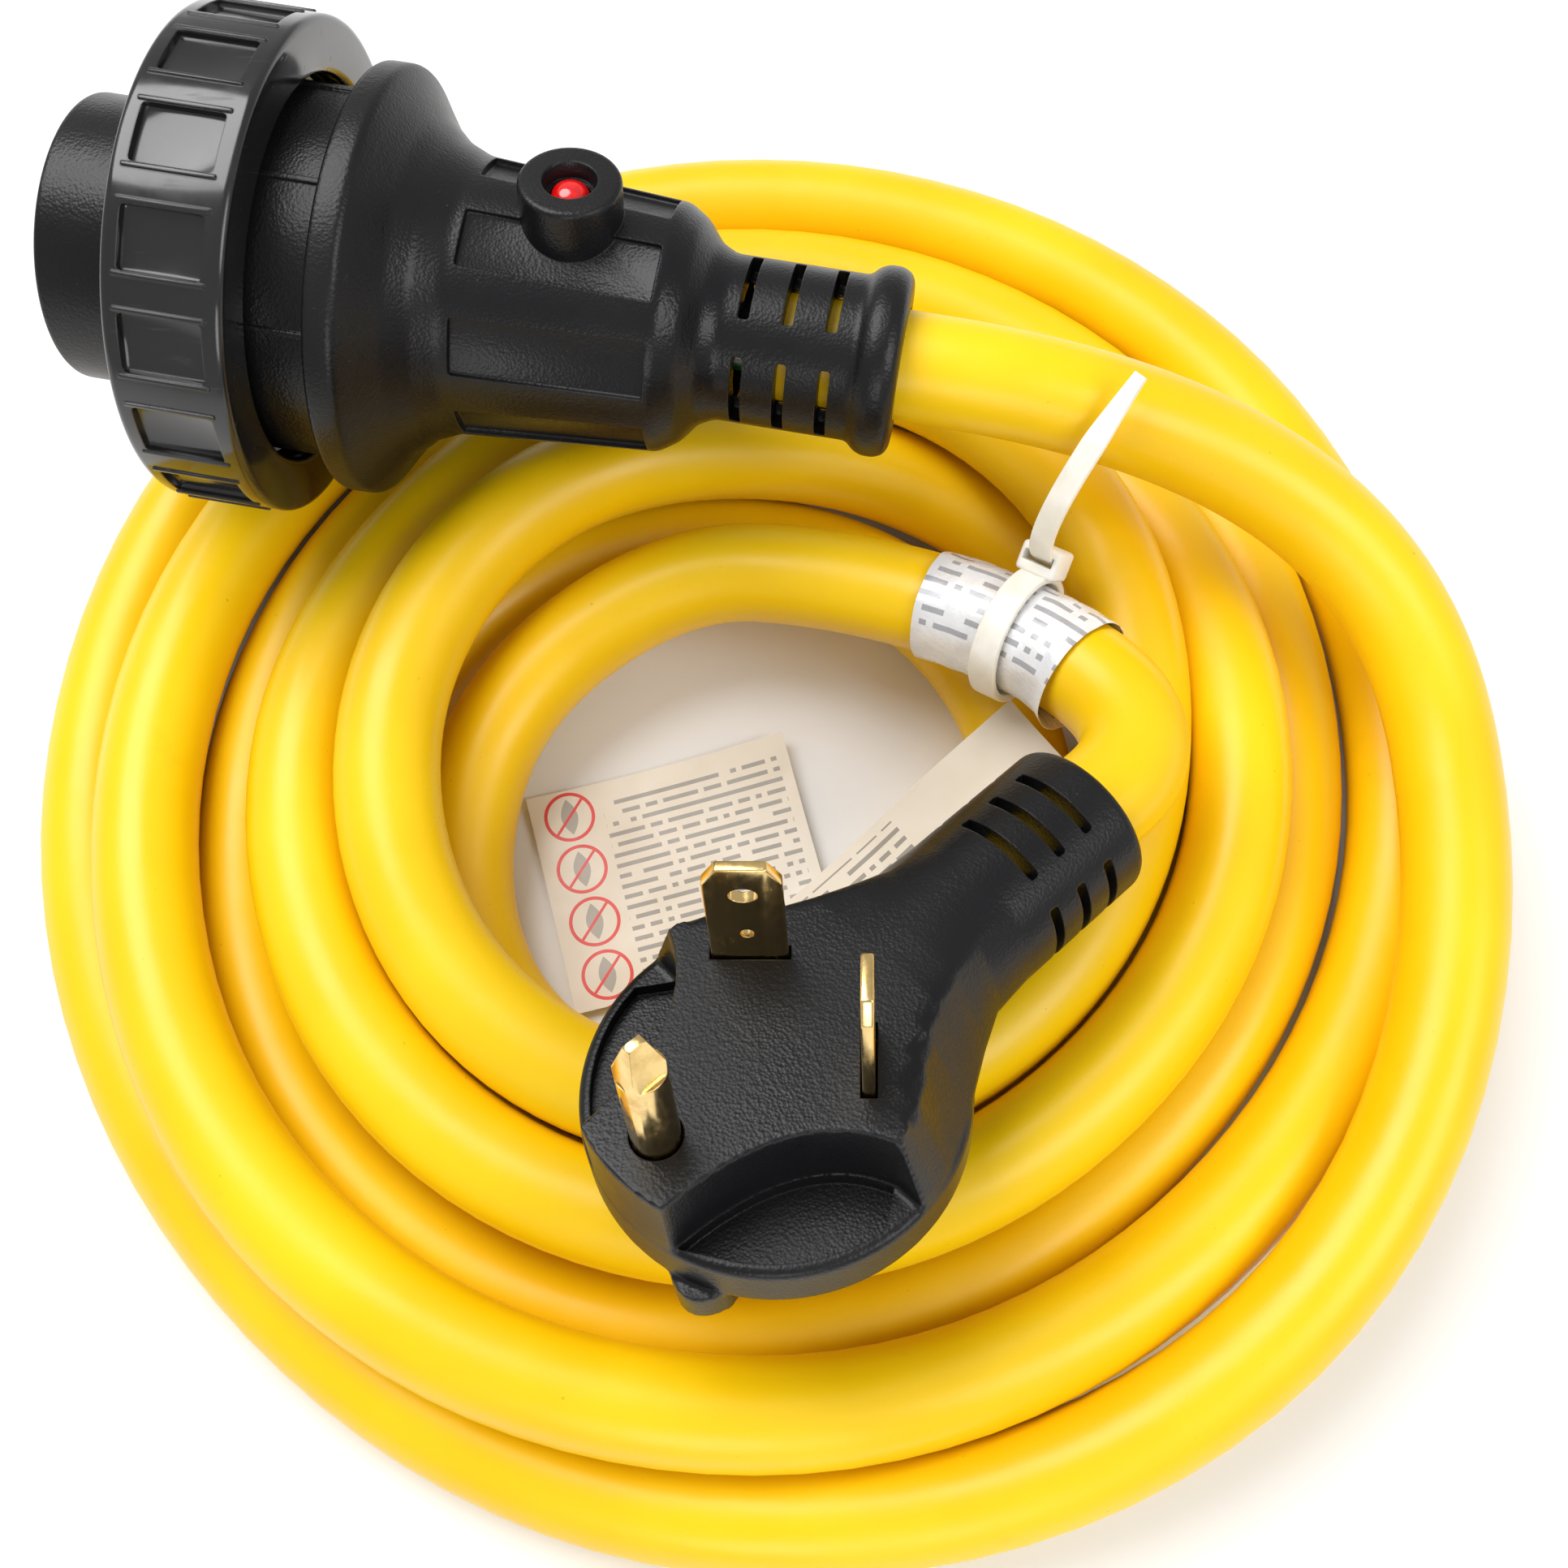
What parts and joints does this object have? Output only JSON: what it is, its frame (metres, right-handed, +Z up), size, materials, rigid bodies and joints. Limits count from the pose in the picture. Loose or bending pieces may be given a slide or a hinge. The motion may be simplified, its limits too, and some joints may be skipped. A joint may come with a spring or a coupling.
{
  "type": "shore power cord",
  "caption": "Coiled three-conductor shore power cord with an angled blade plug on one end and a socket connector with a captive coupling ring on the other.",
  "frame": {"origin": "on the floor, under the middle of the whole object", "axes": "+Z up from the floor the coil lies on, +X towards the side the connector's cord leaves to"},
  "size_m": [0.2382, 0.2486, 0.0978],
  "materials": {
    "cord_yellow": "satin flexible jacket",
    "wire_black": "satin",
    "wire_white": "satin",
    "wire_green": "satin",
    "moulding_black": "fine-grained matte",
    "insert_black": "matte",
    "ring_black": "polished",
    "seal_black": "matte",
    "blade_brass": "bright",
    "contact_brass": "satin",
    "lens_red": "clear dome",
    "lamp_body": "clear",
    "core_grey": "matte",
    "tie_natural": "translucent nylon",
    "label_white": "smooth printed film",
    "tag_white": "smooth printed film"
  },
  "bodies": {
    "cord": {"cord_jacket": "cord_yellow", "cord_wire_hot": "wire_black", "cord_wire_neutral": "wire_white", "cord_wire_ground": "wire_green", "wrap_label": "label_white", "cable_tie": "tie_natural", "tag_left": "tag_white", "tag_right": "tag_white"},
    "connector": {"connector_housing": "moulding_black", "socket_insert": "insert_black", "socket_contact_hot": "contact_brass", "socket_contact_neutral": "contact_brass", "socket_contact_ground": "contact_brass", "indicator_lens": "lens_red", "indicator_lamp": "lamp_body", "connector_end_jacket": "cord_yellow", "connector_wire_hot": "wire_black", "connector_wire_neutral": "wire_white", "connector_wire_ground": "wire_green"},
    "ring_seal": {"ring_seal": "seal_black"},
    "coupling_ring": {"coupling_ring": "ring_black"},
    "plug": {"plug_housing": "moulding_black", "plug_core": "core_grey", "hot_blade": "blade_brass", "neutral_blade": "blade_brass", "ground_pin": "blade_brass", "plug_end_jacket": "cord_yellow", "plug_wire_hot": "wire_black", "plug_wire_neutral": "wire_white", "plug_wire_ground": "wire_green"}
  },
  "joints": [
    {"name": "connector_flex", "type": "hinge", "parent": "cord", "child": "connector", "pos_m": [0.02981, 0.04769, 0.0609], "axis": [0.1805, 0.9836, 0], "range_deg": [0, 12]},
    {"name": "ring_slide", "type": "slide", "parent": "connector", "child": "ring_seal", "axis": [0.9836, -0.1805, 0], "range_m": [-0.0018, 0.0085]},
    {"name": "ring_spin", "type": "hinge", "parent": "ring_seal", "child": "coupling_ring", "pos_m": [-0.10003, 0.07152, 0.0609], "axis": [0.9836, -0.1805, 0], "continuous": true},
    {"name": "plug_flex", "type": "hinge", "parent": "cord", "child": "plug", "pos_m": [0.05375, -0.01505, 0.04723], "axis": [-0.6721, 0.7405, 0], "range_deg": [0, 12]}
  ]
}
